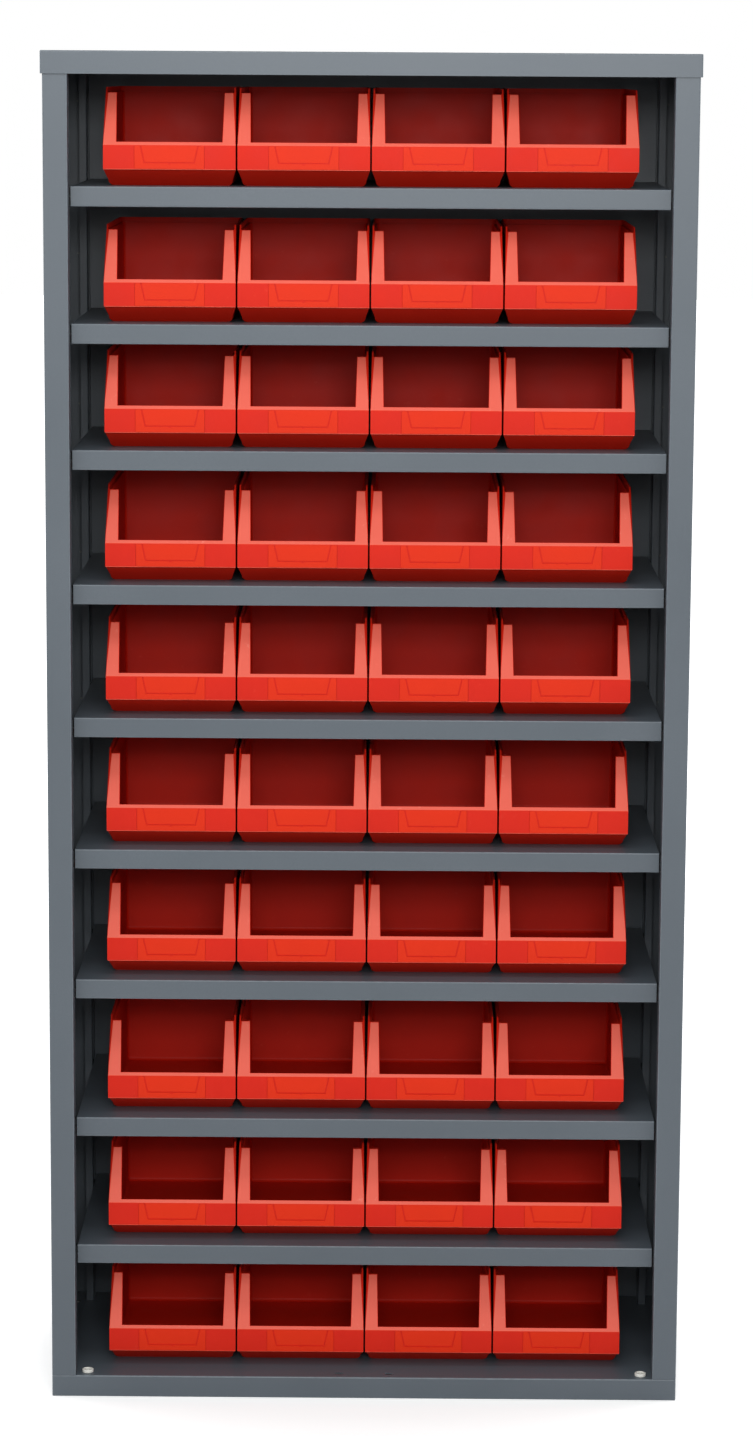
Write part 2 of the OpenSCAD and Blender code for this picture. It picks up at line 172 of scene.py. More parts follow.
def placeCamera(view):
    bpy.ops.object.camera_add()
    camera = bpy.context.object
    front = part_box("left_side")[0].y
    turn = (Matrix.Rotation(math.radians(-view["yaw"]), 4, "Z")
            @ Matrix.Rotation(math.radians(90 - view["pitch"]), 4, "X")
            @ Matrix.Rotation(math.radians(view["roll"]), 4, "Z"))
    place = Matrix.Translation((view["right"], front - view["distance"], view["height"]))
    camera.matrix_world = place @ turn
    camera.data.sensor_fit = "HORIZONTAL"
    camera.data.sensor_width = view["sensorWidth"]
    camera.data.lens = view["sensorWidth"] * view["focalPixels"] / view["pictureWidth"]
    camera.data.clip_end = view["clipEnd"]
    bpy.context.scene.camera = camera


placeCamera(cameraView)
print("camera placed")


# ---- materials ----

def srgb(code):
    def linear(value):
        return value / 12.92 if value <= 0.04045 else ((value + 0.055) / 1.055) ** 2.4
    return tuple(linear(int(code[i:i + 2], 16) / 255) for i in (1, 3, 5)) + (1,)


def startMaterial(name):
    material = bpy.data.materials.new(name)
    material.use_nodes = True
    tree = material.node_tree
    return material, tree, tree.nodes["Principled BSDF"]


def addNode(tree, kind, links=None, inputs=None, **settings):
    node = tree.nodes.new(kind)
    for key, value in settings.items():
        setattr(node, key, value)
    for key, value in (inputs or {}).items():
        node.inputs[key].default_value = value
    for key, socket in (links or {}).items():
        tree.links.new(socket, node.inputs[key])
    return node


def feature(millimetres):
    # noise scale whose grain is about this wide, on coordinates in metres
    return 1000 / millimetres


noiseMiddle = {"From Min": 0.3, "From Max": 0.7}     # where most of a noise's values lie

powderCoat = {
    "colour": "#525b63",
    "light": "#5b646c",
    "edge": "#8d979e",      # painted highlight at the folds, where the bend catches the light, in patches like the thin, rubbed film there
    "edgeWear": 0.6,
    "edgeGrain": 9,         # mm
    "fold": (0.90, 0.995),  # the normal's largest part, at a full fold and on the flat
    "roughness": (0.38, 0.46),
    "grain": 2.2,           # mm; real orange peel is nearer 1 mm, coarser here so that it shows
    "clouding": 240,        # mm, slow change of film thickness
    "height": 0.00006,
    "relief": 0.5,
    "ior": 1.56,
}


def makePowderCoat(values):
    # polyester powder coat on steel sheet: dielectric film, satin, with a fine orange peel
    material, tree, shader = startMaterial("powderCoatedSteel")
    place = addNode(tree, "ShaderNodeTexCoord").outputs["Object"]
    cloud = addNode(tree, "ShaderNodeTexNoise", {"Vector": place},
                    {"Scale": feature(values["clouding"]), "Detail": 3.0, "Roughness": 0.5})
    peel = addNode(tree, "ShaderNodeTexNoise", {"Vector": place},
                   {"Scale": feature(values["grain"]), "Detail": 2.0, "Roughness": 0.45})
    tone = addNode(tree, "ShaderNodeMapRange", {"Value": cloud.outputs["Fac"]}, noiseMiddle)
    speck = addNode(tree, "ShaderNodeMath", {0: peel.outputs["Fac"], 1: tone.outputs["Result"]},
                    operation="MULTIPLY")
    colour = addNode(tree, "ShaderNodeMix", {"Factor": speck.outputs[0]}, data_type="RGBA")
    colour.inputs["A"].default_value = srgb(values["colour"])
    colour.inputs["B"].default_value = srgb(values["light"])
    # the sheet's faces lie square to the axes, so a slanting normal marks a fold or a hole's edge, and
    # there the coat is painted paler as a painted highlight, in patches of wear
    surface = addNode(tree, "ShaderNodeNewGeometry")
    facing = addNode(tree, "ShaderNodeVectorMath", {0: surface.outputs["Normal"]}, operation="ABSOLUTE")
    parts = addNode(tree, "ShaderNodeSeparateXYZ", {0: facing.outputs[0]})
    level = addNode(tree, "ShaderNodeMath", {0: parts.outputs["X"], 1: parts.outputs["Y"]},
                    operation="MAXIMUM")
    most = addNode(tree, "ShaderNodeMath", {0: level.outputs[0], 1: parts.outputs["Z"]},
                   operation="MAXIMUM")
    fold = addNode(tree, "ShaderNodeMapRange", {"Value": most.outputs[0]},
                   {"From Min": values["fold"][0], "From Max": values["fold"][1],
                    "To Min": values["edgeWear"], "To Max": 0.0})
    patch = addNode(tree, "ShaderNodeTexNoise", {"Vector": place},
                    {"Scale": feature(values["edgeGrain"]), "Detail": 3.0})
    # the folds' pale patches: a painted highlight, with some rubbed wear
    paleMarks = addNode(tree, "ShaderNodeMath", {0: fold.outputs["Result"], 1: patch.outputs["Fac"]},
                   operation="MULTIPLY")
    coat = addNode(tree, "ShaderNodeMix", {"Factor": paleMarks.outputs[0], "A": colour.outputs["Result"]},
                   data_type="RGBA")
    coat.inputs["B"].default_value = srgb(values["edge"])
    gloss = addNode(tree, "ShaderNodeMapRange", {"Value": cloud.outputs["Fac"]},
                    {**noiseMiddle, "To Min": values["roughness"][0], "To Max": values["roughness"][1]})
    bump = addNode(tree, "ShaderNodeBump", {"Height": peel.outputs["Fac"]},
                   {"Strength": values["relief"], "Distance": values["height"]})
    tree.links.new(coat.outputs["Result"], shader.inputs["Base Color"])
    tree.links.new(gloss.outputs["Result"], shader.inputs["Roughness"])
    tree.links.new(bump.outputs["Normal"], shader.inputs["Normal"])
    shader.inputs["IOR"].default_value = values["ior"]
    return material


polypropylene = {
    "colour": "#d6250f",
    "deep": "#cd1c08",
    "scuff": "#e85c46",
    "wear": 0.35,
    "roughness": (0.48, 0.58),
    "mottle": 45,           # mm, slow colour drift from the melt
    "grain": 1.6,           # mm; the spark-eroded grain is finer, coarser here so that it shows
    "scratch": 14,          # mm between handling marks
    "marked": (0.62, 0.8),  # the noise's values between which a mark comes up
    "height": 0.00005,
    "relief": 0.4,
    "ior": 1.35,            # 1.49 in the solid, lower here because the grained skin shines less
    "specular": 0.35,
}
polishedSkin = {            # the label holder, with a finer grain and fewer marks
    "colour": "#dc2d05",
    "deep": "#d62903",
    "wear": 0.12,
    "roughness": (0.50, 0.54),
    "height": 0.00001,
}
sheenAndWearSkin = {              # the sloping bands and the lip's edges, painted pale as a painted sheen from overhead light, with scuff marks
    "colour": "#e86857",
    "deep": "#e15c49",
    "scuff": "#f59a88",
    "wear": 0.6,
    "roughness": (0.46, 0.58),
}


def makePolypropylene(values, name="mouldedPolypropylene"):
    # injection-moulded polypropylene: satin skin, slightly waxy, pale where it is rubbed
    material, tree, shader = startMaterial(name)
    place = addNode(tree, "ShaderNodeTexCoord").outputs["Object"]
    drift = addNode(tree, "ShaderNodeTexNoise", {"Vector": place},
                    {"Scale": feature(values["mottle"]), "Detail": 3.0, "Roughness": 0.55})
    grain = addNode(tree, "ShaderNodeTexNoise", {"Vector": place},
                    {"Scale": feature(values["grain"]), "Detail": 2.0, "Roughness": 0.5})
    rub = addNode(tree, "ShaderNodeTexNoise", {"Vector": place},
                  {"Scale": feature(values["scratch"]), "Detail": 8.0, "Roughness": 0.7})
    body = addNode(tree, "ShaderNodeMix", {"Factor": drift.outputs["Fac"]}, data_type="RGBA")
    body.inputs["A"].default_value = srgb(values["deep"])
    body.inputs["B"].default_value = srgb(values["colour"])
    paleMarks = addNode(tree, "ShaderNodeMapRange", {"Value": rub.outputs["Fac"]},
                   {"From Min": values["marked"][0], "From Max": values["marked"][1],
                    "To Max": values["wear"]})
    colour = addNode(tree, "ShaderNodeMix",
                     {"Factor": paleMarks.outputs["Result"], "A": body.outputs["Result"]}, data_type="RGBA")
    colour.inputs["B"].default_value = srgb(values["scuff"])
    gloss = addNode(tree, "ShaderNodeMapRange", {"Value": drift.outputs["Fac"]},
                    {**noiseMiddle, "To Min": values["roughness"][0], "To Max": values["roughness"][1]})
    bump = addNode(tree, "ShaderNodeBump", {"Height": grain.outputs["Fac"]},
                   {"Strength": values["relief"], "Distance": values["height"]})
    tree.links.new(colour.outputs["Result"], shader.inputs["Base Color"])
    tree.links.new(gloss.outputs["Result"], shader.inputs["Roughness"])
    tree.links.new(bump.outputs["Normal"], shader.inputs["Normal"])
    shader.inputs["IOR"].default_value = values["ior"]
    shader.inputs["Specular IOR Level"].default_value = values["specular"]
    return material


zincPlate = {
    "colour": "#8a8c8a",
    "dull": "#6a6c6a",
    "roughness": (0.42, 0.58),
    "spangle": 6,           # mm
}
shadeDarkZinc = {               # the shelf clips, darkened as painted shade
    "colour": "#46484a",
    "dull": "#343638",
    "roughness": (0.45, 0.6),
}


def makeZincPlate(values, name="zincPlatedSteel"):
    # zinc plate on steel: a metal with a cloudy film
    material, tree, shader = startMaterial(name)
    place = addNode(tree, "ShaderNodeTexCoord").outputs["Object"]
    cloud = addNode(tree, "ShaderNodeTexNoise", {"Vector": place},
                    {"Scale": feature(values["spangle"]), "Detail": 4.0, "Roughness": 0.6})
    colour = addNode(tree, "ShaderNodeMix", {"Factor": cloud.outputs["Fac"]}, data_type="RGBA")
    colour.inputs["A"].default_value = srgb(values["dull"])
    colour.inputs["B"].default_value = srgb(values["colour"])
    gloss = addNode(tree, "ShaderNodeMapRange", {"Value": cloud.outputs["Fac"]},
                    {**noiseMiddle, "To Min": values["roughness"][0], "To Max": values["roughness"][1]})
    tree.links.new(colour.outputs["Result"], shader.inputs["Base Color"])
    tree.links.new(gloss.outputs["Result"], shader.inputs["Roughness"])
    shader.inputs["Metallic"].default_value = 1.0
    return material


nylon = {
    "colour": "#ecece6",
    "shade": "#deded6",
    "roughness": 0.42,
    "mottle": 5,            # mm
    "ior": 1.53,
}


def makeNylon(values):
    # natural moulded nylon: milky white, soft highlights
    material, tree, shader = startMaterial("mouldedNylon")
    place = addNode(tree, "ShaderNodeTexCoord").outputs["Object"]
    cloud = addNode(tree, "ShaderNodeTexNoise", {"Vector": place},
                    {"Scale": feature(values["mottle"]), "Detail": 3.0})
    colour = addNode(tree, "ShaderNodeMix", {"Factor": cloud.outputs["Fac"]}, data_type="RGBA")
    colour.inputs["A"].default_value = srgb(values["shade"])
    colour.inputs["B"].default_value = srgb(values["colour"])
    tree.links.new(colour.outputs["Result"], shader.inputs["Base Color"])
    shader.inputs["Roughness"].default_value = values["roughness"]
    shader.inputs["IOR"].default_value = values["ior"]
    return material


coatMaterial = makePowderCoat(powderCoat)
# the grained skin, the label holder's, and that of the bands and lip edges, painted pale as a painted
# sheen
binSkins = [makePolypropylene(polypropylene),
            makePolypropylene({**polypropylene, **polishedSkin}, "polishedPolypropylene"),
            makePolypropylene({**polypropylene, **sheenAndWearSkin}, "sheenAndWearPolypropylene")]
zincMaterial = makeZincPlate(zincPlate)
clipMaterial = makeZincPlate({**zincPlate, **shadeDarkZinc}, "shadeDarkZincPlatedSteel")
nylonMaterial = makeNylon(nylon)
print("materials made")


# ---- cabinet: the folded sheet keeps its CAD shape ----

coated = ["top_cap", "base_pan", "left_side", "right_side", "back_panel"]
coated += [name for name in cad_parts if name.endswith("_rails")]
coated += [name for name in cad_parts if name.startswith("shelf_") and name[6:].isdigit()]
for name in coated:
    paint(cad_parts[name], coatMaterial)
# the clips are painted dark, a painted shade at the shelves' ends
paint(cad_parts["shelf_clips"], clipMaterial)
print("cabinet painted:", len(coated), "sheet parts")


# ---- one bin, modelled with its lip at y = 0 and its base at z = 0 ----

binShape = {
    "length": 0.341,
    "halfWidth": 0.102,         # over the front frame
    "halfBase": 0.096,          # over the walls, at the base
    "halfWall": 0.097,          # and at the ledge
    "halfRim": 0.1005,
    "halfBandTop": 0.0957,      # the bands' outer edges lean in to this
    "height": 0.150,
    "ledge": 0.142,             # stacking ledge inside the upstand
    "bandLow": 0.134,           # underside of the rim's outer band
    "lipLow": 0.025,
    "faceTop": 0.0625,          # the upright lip's upper edge
    "rimBack": 0.050,           # setback of the rim's front corners
    "undercut": 0.044,          # setback of the base
    "grip": 0.008,              # and of the undercut under the lip
    "wall": 0.0025,
    "upstand": 0.0026,
    "openLow": 0.0810,          # half width of the opening at the lip
    "openHigh": 0.0830,         # and at the ledge
    "frameDepth": 0.008,
    "lipThick": 0.003,
    "cornerRadius": 0.012,      # of the rim
    "cornerSteps": 8,
    "edgeRadius": 0.008,        # of the walls
    "edgeSteps": 6,
    "rearLean": 0.004,
    "rearFrom": 0.3,            # edges further back than this belong to the rear wall
    "softEdge": 0.0006,         # radius left by the mould on the walls' edges
    "lipEdge": 0.0009,          # and on the front's, which catch the light
    "plateEdge": 0.0003,
    "overlap": 0.001,           # how far the moulding's parts run into each other
    "seat": 0.0002,             # how far the rim, walls and chins lie under the front's skin
    "rimStart": 0.02,           # y of the rim's block before its front is cut
    "rimUnder": 0.4,            # share of the frame's depth where that cut lies
    "bandOver": 0.006,          # how far the bands' blocks rise past the ledge
    "reach": 0.01,              # how far a large cutter stands past what it cuts
    "past": 0.004,              # and a small one
    "fine": 0.0001,
    "longEdge": 0.01,           # shorter edges than this belong to a rounding
    "foldAngle": 25,            # degrees; edges that turn more are rounded, or shaded as edges
}


def cutBy(obj, point, normal):
    # cuts the solid by a plane and keeps the side that the normal points away from
    editPart(obj, "FACE", lambda f: True, lambda: bpy.ops.mesh.bisect(
        plane_co=point, plane_no=normal.normalized(), use_fill=True, clear_outer=True,
        threshold=0.000001))


def slopeNormal(b):
    # out of the sloping frame
    return Vector((0, b["faceTop"] - b["height"], b["rimBack"]))


def flankNormal(b):
    # the flank beside a band turns back at 45 degrees from the band's outer edge
    edge = Vector((b["halfBandTop"] - b["halfWidth"], b["rimBack"], b["height"] - b["faceTop"]))
    return edge.cross(Vector((-1, -1, 0)))


def cutFlanks(obj, b, inset=0):
    normal = flankNormal(b)
    for side in (-1, 1):
        cutBy(obj, Vector((side * (b["halfWidth"] - inset), 0, b["faceTop"])),
              Vector((side * normal.x, normal.y, normal.z)))


def underNormal(b):
    # out of the undercut below the lip
    return Vector((0, -b["lipLow"], b["grip"] - b["undercut"]))


def rearVertical(edge):
    a, c = edge.verts[0].co, edge.verts[1].co
    return min(a.y, c.y) > binShape["rearFrom"] and abs(a.z - c.z) > binShape["longEdge"]


def makeHull(b, inset, front, top):
    # the walls' outer form, or their inner form where it is drawn in by the wall
    rear = b["length"] - b["upstand"]
    hull = addBlock("binHull", (-b["halfWidth"], front, inset), (b["halfWidth"], rear, top))
    planes = [((0, b["undercut"], 0), underNormal(b)),
              ((0, rear, b["ledge"]), Vector((0, b["ledge"], -b["rearLean"])))]
    for side in (-1, 1):
        planes.append(((side * b["halfBase"], 0, 0),
                       Vector((side * b["ledge"], 0, b["halfBase"] - b["halfWall"]))))
    for point, normal in planes:
        cutBy(hull, Vector(point) - inset * normal.normalized(), normal)

    def rounded(edge):
        # the rear corners, and the base's edges along the sides and the rear
        a, c = edge.verts[0].co, edge.verts[1].co
        low = max(a.z, c.z) < inset + b["fine"]
        along = abs(a.y - c.y) > b["longEdge"]
        return rearVertical(edge) or low and (along or min(a.y, c.y) > b["rearFrom"])
    editPart(hull, "EDGE", rounded, lambda: bpy.ops.mesh.bevel(
        offset=b["edgeRadius"] - inset, segments=b["edgeSteps"], affect="EDGES"))
    return hull


def makeBand(b):
    # room for one of the two bands beside the opening, which the hollow leaves standing
    beyond = b["halfWidth"] + b["reach"]
    top = b["ledge"] + b["bandOver"]
    depth = b["frameDepth"] + b["overlap"]
    rise = top - b["faceTop"]
    inner = b["openLow"] + (b["openHigh"] - b["openLow"]) * rise / (b["ledge"] - b["faceTop"])
    back = b["rimBack"] * rise / (b["height"] - b["faceTop"])
    band = addBlock("binBand", (b["openLow"], -b["reach"], b["lipLow"] - b["reach"]),
                    (beyond, depth, b["faceTop"]))
    editPart(band, "FACE", lambda f: f.normal.z > 0.9, lambda: (
        bpy.ops.mesh.extrude_region_move(TRANSFORM_OT_translate={"value": (0, back, rise)}),
        bpy.ops.transform.resize(value=((beyond - inner) / (beyond - b["openLow"]), 1, 1),
                                 center_override=(beyond, back, top))))
    return band


def makeRecess(b, seat=0):
    # what is cut away inside the upstand, down to the stacking ledge
    half = b["halfRim"] - b["upstand"] + seat
    recess = addBlock("binRecess", (-half, -b["reach"], b["ledge"] - seat),
                      (half, b["length"] - b["upstand"], b["height"] + b["reach"]))
    editPart(recess, "EDGE", rearVertical, lambda: bpy.ops.mesh.bevel(
        offset=b["cornerRadius"] - b["upstand"], segments=b["cornerSteps"], affect="EDGES"))
    return recess


labelHolder = {
    "halfWidth": 0.0535,
    "proud": 0.0008,
    "margin": 0.0012,           # below the lip's upper edge and above its lower edge
    "windowTop": 0.045,
    "windowFoot": 0.039,
    "footHeight": 0.010,        # strip under the window
    "windowBack": 0.0003,
    "groove": 0.0016,           # width of the slot that the card slides in
    "grooveBack": 0.0017,
    "spare": 0.0002,            # how far the slot runs outside the window
    "notch": 0.0024,            # for the finger that lifts the card
    "notchSides": 20,
    "gutter": 0.0011,           # dark line down each side of the holder
    "gutterDepth": 0.0009,
}


def makeLabelPlate(b, h):
    plate = addBlock("labelPlate", (-h["halfWidth"], -h["proud"], b["lipLow"] + h["margin"]),
                     (h["halfWidth"], b["lipThick"] / 2, b["faceTop"] - h["margin"]))
    roundEdges(plate, b["plateEdge"])
    return plate


def addTrapezoid(name, foot, top, low, high, front, back):
    prism = addBlock(name, (-foot, front, low), (foot, back, high))
    editPart(prism, "FACE", lambda f: f.normal.z > 0.9, lambda: bpy.ops.transform.resize(
        value=(top / foot, 1, 1), center_override=(0, (front + back) / 2, high)))
    return prism


def cutLabelWindow(body, b, h):
    past, spare, groove = b["past"], h["spare"], h["groove"]
    foot, top = h["windowFoot"], h["windowTop"]
    edge = b["faceTop"] - h["margin"]
    low, high = b["lipLow"] + h["footHeight"], edge + 2 * spare
    window = addTrapezoid("labelWindow", foot, top, low, high, -past, h["windowBack"])
    slot = addTrapezoid("labelSlot", foot + spare, top + spare, low - spare, edge - spare,
                        -past, h["grooveBack"])
    card = addTrapezoid("labelCard", foot - groove, top - groove, low + groove, high + b["overlap"],
                        -past - b["overlap"], h["grooveBack"] + b["overlap"])
    combine(slot, card, "DIFFERENCE")
    notch = addRound("labelNotch", h["notch"], -past / 2, past / 2, sides=h["notchSides"])
    editPart(notch, "VERT", lambda v: True, lambda: (
        bpy.ops.transform.rotate(value=math.radians(90), orient_axis="X", center_override=(0, 0, 0)),
        bpy.ops.transform.translate(value=(0, h["windowBack"] - past / 2, low))))
    gutters = []
    for side in (-1, 1):
        middle = side * (h["halfWidth"] + h["gutter"] / 2 - b["fine"])
        gutters.append(addBlock("labelGutter",
                                (middle - h["gutter"] / 2, -past, b["lipLow"] + h["margin"]),
                                (middle + h["gutter"] / 2, h["gutterDepth"], edge)))
    for piece in [window, slot, notch] + gutters:
        combine(body, piece, "DIFFERENCE")


def makeFront(b, h):
    # upright lip below and sloping frame above, drawn in towards the rim
    front = addBlock("binFront", (-b["halfWidth"], 0, b["lipLow"]),
                     (b["halfWidth"], b["frameDepth"], b["faceTop"]))
    rise = b["height"] - b["faceTop"]
    editPart(front, "FACE", lambda f: f.normal.z > 0.9, lambda: (
        bpy.ops.mesh.extrude_region_move(TRANSFORM_OT_translate={"value": (0, b["rimBack"], rise)}),
        bpy.ops.transform.resize(value=(b["halfRim"] / b["halfWidth"], 1, 1),
                                 center_override=(0, b["rimBack"], b["height"]))))
    opening = makeHull(b, b["wall"], b["lipThick"], b["height"] + b["past"])
    band = makeBand(b)
    for piece in (mirrored(band), band):
        combine(opening, piece, "DIFFERENCE")
    for piece in (makeRecess(b), opening):
        combine(front, piece, "DIFFERENCE")
    cutFlanks(front, b)
    roundEdges(front, b["lipEdge"], angle=b["foldAngle"])
    combine(front, makeLabelPlate(b, h))
    cutLabelWindow(front, b, h)
    return front


def makeShell(b):
    # the four walls and the base, their front let into the frame
    shell = makeHull(b, 0, b["overlap"], b["ledge"] - b["overlap"] / 2)
    cutBy(shell, (0, b["overlap"], b["faceTop"]), slopeNormal(b))
    cutFlanks(shell, b, 2 * b["seat"])
    hollow = makeHull(b, b["wall"], b["lipThick"] - b["overlap"] / 2, b["ledge"] + b["overlap"])
    combine(shell, hollow, "DIFFERENCE")
    roundEdges(shell, b["softEdge"], angle=b["foldAngle"])
    return shell


def makeChin(b):
    # flare beside the undercut, from the base's width out to the frame's
    back = b["seat"]
    chin = addBlock("binChin", (b["halfBase"] - b["wall"] / 2, b["overlap"], 0),
                    (b["halfWidth"] - back, b["undercut"] + b["frameDepth"], b["lipLow"] + b["overlap"]))
    cutBy(chin, (0, b["undercut"] + back, 0), underNormal(b))
    cutBy(chin, (0, b["undercut"] + b["frameDepth"], 0), -underNormal(b))
    cutBy(chin, (b["halfWidth"] - back, 0, b["lipLow"]),
          Vector((b["lipLow"] - b["edgeRadius"], 0, b["halfBase"] - b["halfWidth"])))
    roundEdges(chin, b["softEdge"])
    return chin


def makeRim(b):
    # band round the walls' top, with the upstand that the next bin's base drops into
    seat = b["seat"]
    half = b["halfRim"] - seat
    rim = addBlock("binRim", (-half, b["rimStart"], b["bandLow"]), (half, b["length"], b["height"] - seat))
    cutBy(rim, (0, b["frameDepth"] * b["rimUnder"], b["faceTop"]), slopeNormal(b))
    cutFlanks(rim, b, 2 * seat)
    editPart(rim, "EDGE", rearVertical, lambda: bpy.ops.mesh.bevel(
        offset=b["cornerRadius"], segments=b["cornerSteps"], affect="EDGES"))
    inside = b["halfWall"] - b["wall"] + b["overlap"] / 2
    rear = b["length"] - b["upstand"] - b["wall"] + b["overlap"] / 2
    through = addBlock("binThrough", (-inside, -b["reach"], b["bandLow"] - b["reach"]),
                       (inside, rear, b["ledge"] + b["past"]))
    for piece in (through, makeRecess(b, seat)):
        combine(rim, piece, "DIFFERENCE")
    roundEdges(rim, b["softEdge"], angle=b["foldAngle"])
    return rim


def paintSkins(body, b, h):
    # 0 is the grained skin, 1 the label holder, 2 the bands and lip edges, painted pale as a painted sheen
    # and highlight
    body.data.materials.clear()
    for skin in binSkins:
        body.data.materials.append(skin)
    slope = slopeNormal(b).normalized()
    foot = Vector((0, 0, b["faceTop"]))
    slanting, alike = 0.2, 0.97
    for face in body.data.polygons:
        spot, way = face.center, face.normal
        atEdge = min(abs(spot.z - b["lipLow"]), abs(spot.z - b["faceTop"])) < b["lipEdge"]
        onPlate = spot.y < b["plateEdge"] and abs(spot.x) < h["halfWidth"]
        # the lip's rounded edges get the pale skin: a painted highlight
        if atEdge and spot.y < b["lipEdge"] and way.y < -slanting and abs(way.z) > slanting:
            face.material_index = 2
        elif onPlate and b["lipLow"] < spot.z < b["faceTop"]:
            face.material_index = 1
        # faces along the sloping bands get the pale skin: a painted sheen where they face the overhead
        # light
        elif way.dot(slope) > alike and (spot - foot).dot(slope) > -b["lipEdge"]:
            face.material_index = 2


def makeBin(b, h):
    chin = makeChin(b)
    whole = joined([makeFront(b, h), makeShell(b), makeRim(b), mirrored(chin), chin], "modelBin")
    smoothShade(whole, b["foldAngle"])
    paintSkins(whole, b, h)
    return whole


modelBin = makeBin(binShape, labelHolder)
print("bin modelled:", len(modelBin.data.polygons), "faces")

for name in sorted(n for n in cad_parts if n.startswith("bin_")):
    low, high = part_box(name)
    spot = Vector(((low.x + high.x) / 2, low.y + labelHolder["proud"], low.z))
    copied = copyTo(modelBin, name + "_moulded", spot)
    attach(copied, name)
    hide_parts(name)
bpy.data.objects.remove(modelBin)
print("bins placed")


# ---- bushes, rivets and screws ----

bush = {
    "radius": 0.009,
    "flange": 0.005,
    "shank": 0.0060,
    "shankLength": 0.008,
    "bore": 0.004,
    "dish": 0.0066,             # radius of the shallow dish round the bore
    "dishDepth": 0.0012,
    "slit": 0.0012,             # snap slit across the shank's foot
    "slitReach": 0.02,
    "slitTop": 0.4,             # share of the shank's length that it leaves whole
    "softEdge": 0.0009,
    "fineEdge": 0.0002,
    "past": 0.002,              # how far the cutters stand past the bush
    "sides": 48,
}


def makeBush(b):
    # flanged push-in bush, its flange standing on z = 0
    top, foot, past = b["flange"], -b["shankLength"], b["past"]
    body = addRound("pivotBush", b["radius"], 0, top, sides=b["sides"])
    roundEdges(body, b["softEdge"], segments=4)
    shank = addRound("bushShank", b["shank"], foot, top / 2, sides=b["sides"])
    roundEdges(shank, b["softEdge"] / 2)
    combine(body, shank)
    cuts = [addRound("bushDish", b["dish"], top - b["dishDepth"], top + past, sides=b["sides"]),
            addRound("bushBore", b["bore"], foot - past, top + past, sides=b["sides"]),
            addBlock("bushSlit", (-b["slitReach"], -b["slit"] / 2, foot - past),
                     (b["slitReach"], b["slit"] / 2, foot * b["slitTop"]))]
    for cut in cuts:
        combine(body, cut, "DIFFERENCE")
    roundEdges(body, b["fineEdge"], angle=50)
    smoothShade(body, 30)
    paint(body, nylonMaterial)
    return body


rivet = {
    "radius": 0.00325,
    "height": 0.0011,
    "shank": 0.0016,
    "shankLength": 0.005,
    "stem": 0.0009,             # hole left by the pulled stem
    "stemDepth": 0.0006,
    "past": 0.001,
    "taper": 0.94,              # of the head, from its rim to its top
    "crown": 0.42,              # share of the radius that the dome's edge takes up
    "sides": 24,
    "stemSides": 16,
    "perSide": 9,
}


def makeRivet(r):
    # blind rivet, its head standing on z = 0
    top = r["height"]
    body = addRound("backRivet", r["radius"], 0, top, sides=r["sides"])
    editPart(body, "FACE", lambda f: f.normal.z > 0.9, lambda: bpy.ops.transform.resize(
        value=(r["taper"], r["taper"], 1), center_override=(0, 0, top)))
    editPart(body, "EDGE", lambda e: min(v.co.z for v in e.verts) > top / 2, lambda: bpy.ops.mesh.bevel(
        offset=r["radius"] * r["crown"], segments=5, affect="EDGES"))
    combine(body, addRound("rivetShank", r["shank"], -r["shankLength"], top / 2, sides=r["sides"]))
    combine(body, addRound("rivetStem", r["stem"], top - r["stemDepth"], top + r["past"],
                           sides=r["stemSides"]), "DIFFERENCE")
    smoothShade(body, 40)
    paint(body, zincMaterial)
    return body


screw = {
    "radius": 0.004,
    "height": 0.0025,
    "shank": 0.00175,
    "shankLength": 0.014,
    "crossWidth": 0.0011,
    "crossReach": 0.0021,
    "crossDepth": 0.0014,
    "past": 0.001,
    "crown": 0.6,               # share of the head's height that is rounded off
    "sides": 32,
    "shankSides": 24,
    "perSide": 3,
}


def makeScrew(c):
    # pan-head screw, its head standing on z = 0
    top = c["height"]
    body = addRound("baseScrew", c["radius"], 0, top, sides=c["sides"])
    editPart(body, "EDGE", lambda e: min(v.co.z for v in e.verts) > top / 2, lambda: bpy.ops.mesh.bevel(
        offset=top * c["crown"], segments=6, affect="EDGES"))
    combine(body, addRound("screwShank", c["shank"], -c["shankLength"], top / 2, sides=c["shankSides"]))
    across, reach = c["crossWidth"] / 2, c["crossReach"]
    for x, y in ((across, reach), (reach, across)):
        combine(body, addBlock("screwCross", (-x, -y, top - c["crossDepth"]), (x, y, top + c["past"])),
                "DIFFERENCE")
    smoothShade(body, 40)
    paint(body, zincMaterial)
    return body


def setOut(model, node, spots):
    # copies of one fitting at its places, as one piece in the room of the CAD node
    copies = [copyTo(model, model.name + str(i), spot) for i, spot in enumerate(spots)]
    bpy.data.objects.remove(model)
    whole = joined(copies, node + "_fitted")
    whole.data.name = whole.name
    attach(whole, "carcass")
    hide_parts(node)


def stepsAlong(start, end, count):
    return [start + (end - start) * i / (count - 1) for i in range(count)]


low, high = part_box("pivot_bushes")
setOut(makeBush(bush), "pivot_bushes",
       [Vector((side * (high.x - bush["radius"]), (low.y + high.y) / 2, high.z - bush["flange"]))
        for side in (-1, 1)])

low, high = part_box("back_rivets")
upright = makeRivet(rivet)       # then turned, so that its head faces back
editPart(upright, "VERT", lambda v: True, lambda: bpy.ops.transform.rotate(
    value=math.radians(90), orient_axis="X", center_override=(0, 0, 0)))
setOut(upright, "back_rivets",
       [Vector((side * (high.x - rivet["radius"]), high.y - rivet["height"], z)) for side in (-1, 1)
        for z in stepsAlong(low.z + rivet["radius"], high.z - rivet["radius"], rivet["perSide"])])

low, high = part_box("base_screws")
setOut(makeScrew(screw), "base_screws",
       [Vector((side * (high.x - screw["radius"]), y, high.z - screw["height"])) for side in (-1, 1)
        for y in stepsAlong(low.y + screw["radius"], high.y - screw["radius"], screw["perSide"])])
print("fittings placed")


# ---- floor and light ----

